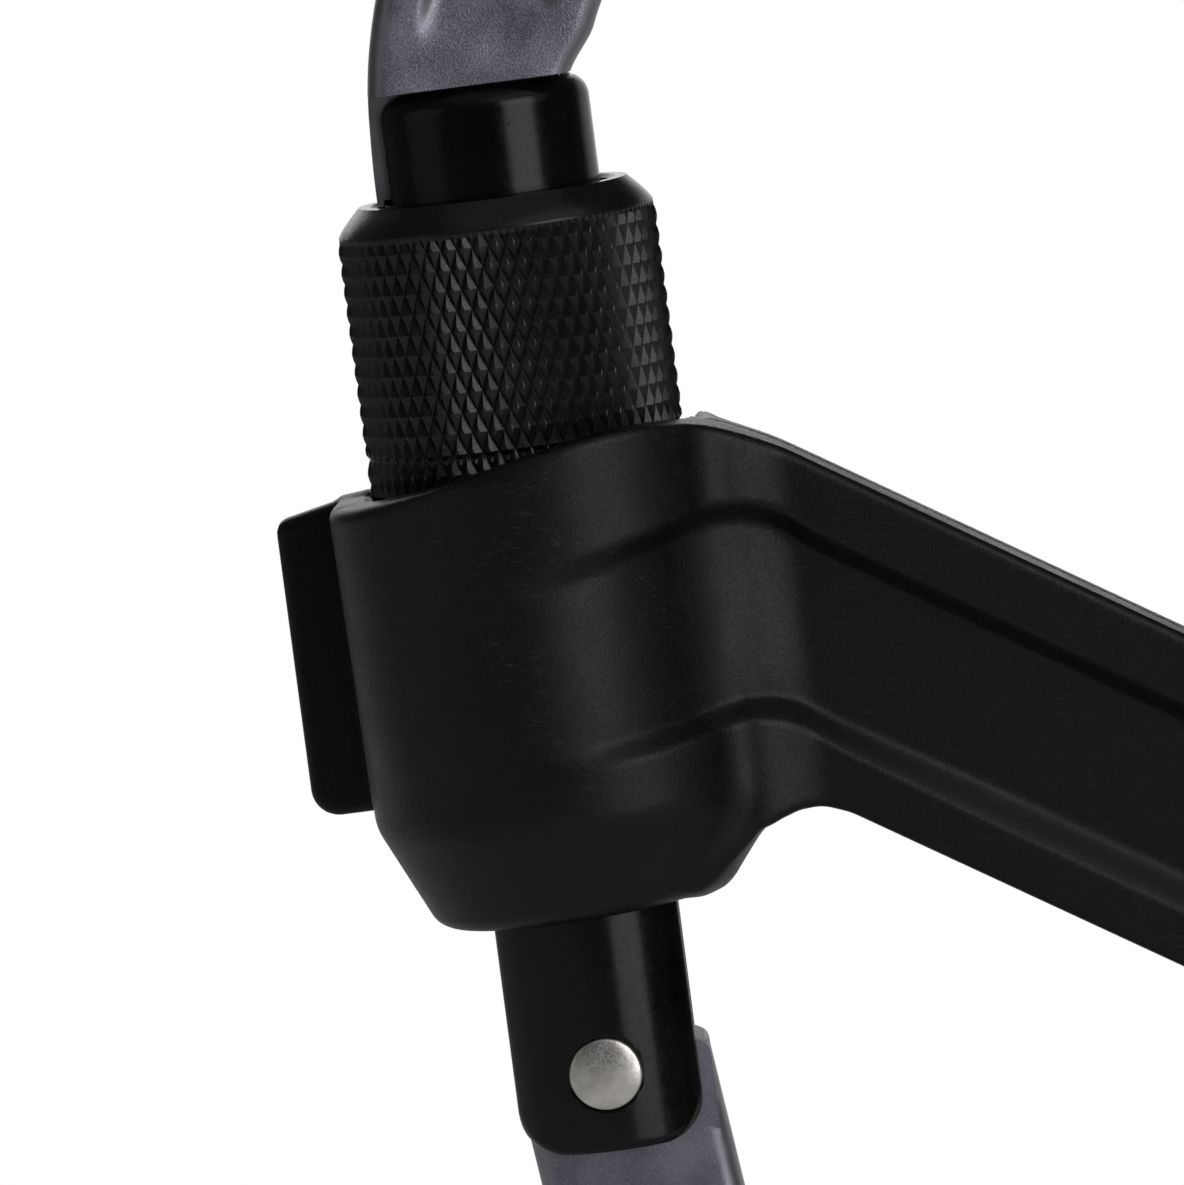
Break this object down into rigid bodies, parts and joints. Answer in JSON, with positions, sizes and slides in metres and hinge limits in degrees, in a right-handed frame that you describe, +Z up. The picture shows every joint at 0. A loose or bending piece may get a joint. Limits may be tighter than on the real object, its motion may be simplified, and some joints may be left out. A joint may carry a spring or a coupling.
{
  "type": "belay carabiner",
  "caption": "Pear-shaped screw-gate belay carabiner with a moulded swing clip that cups the gate and keeps it from turning sideways",
  "frame": {"origin": "inside of the crown, at the top of the rope-bearing surface, where the carabiner hangs", "axes": "+Z up along the carabiner's length, crown up and bow down; +X from the gate towards the spine; front towards -Y"},
  "size_m": [0.0752, 0.0212, 0.1135],
  "materials": {
    "forging": "fine grained, anodised grey",
    "black_anodised": "glossy black anodised",
    "rivet_steel": "satin",
    "spring_steel": "bright",
    "brass": "machined",
    "nylon": "moulded, lightly scuffed",
    "acetal": "smooth"
  },
  "bodies": {
    "frame": {"carabiner_frame": "forging", "hinge_rivet": "rivet_steel", "spine_bush_front": "acetal", "spine_bush_rear": "acetal"},
    "gate": {"gate_tube": "black_anodised", "gate_spring": "spring_steel", "sleeve_stop_ring": "spring_steel"},
    "plunger": {"gate_plunger": "brass"},
    "liner": {"sleeve_liner": "brass"},
    "sleeve": {"screw_sleeve": "black_anodised"},
    "clip": {"clip_front_shell": "nylon", "clip_rear_shell": "nylon", "clip_screw_cup_upper": "spring_steel", "clip_screw_cup_lower": "spring_steel", "clip_screw_collar_upper": "spring_steel", "clip_screw_collar_lower": "spring_steel"}
  },
  "joints": [
    {"name": "clip_swing", "type": "hinge", "parent": "frame", "child": "clip", "pos_m": [0.01641, 0, -0.06527], "axis": [0.225, 0, 0.9744], "range_deg": [0, 150]},
    {"name": "gate_swing", "type": "hinge", "parent": "frame", "child": "gate", "pos_m": [-0.026, 0, -0.07368], "axis": [0, 1, 0], "range_deg": [0, 22]},
    {"name": "plunger_push", "type": "slide", "parent": "gate", "child": "plunger", "axis": [-0.1288, 0, 0.9917], "range_m": [0, 0.001], "deforming": ["gate_spring"]},
    {"name": "sleeve_travel", "type": "slide", "parent": "gate", "child": "liner", "axis": [-0.1288, 0, 0.9917], "range_m": [0, 0.004]},
    {"name": "sleeve_turn", "type": "hinge", "parent": "liner", "child": "sleeve", "pos_m": [-0.026, 0, -0.07368], "axis": [-0.1288, 0, 0.9917], "range_deg": [0, 735]}
  ],
  "couplings": [
    {"joint": "gate_swing", "follows": "clip_swing", "ratio": 0.1466},
    {"joint": "plunger_push", "follows": "clip_swing", "m_per_rad": 0.000381},
    {"joint": "sleeve_turn", "follows": "sleeve_travel", "rad_per_m": 3141.6}
  ]
}
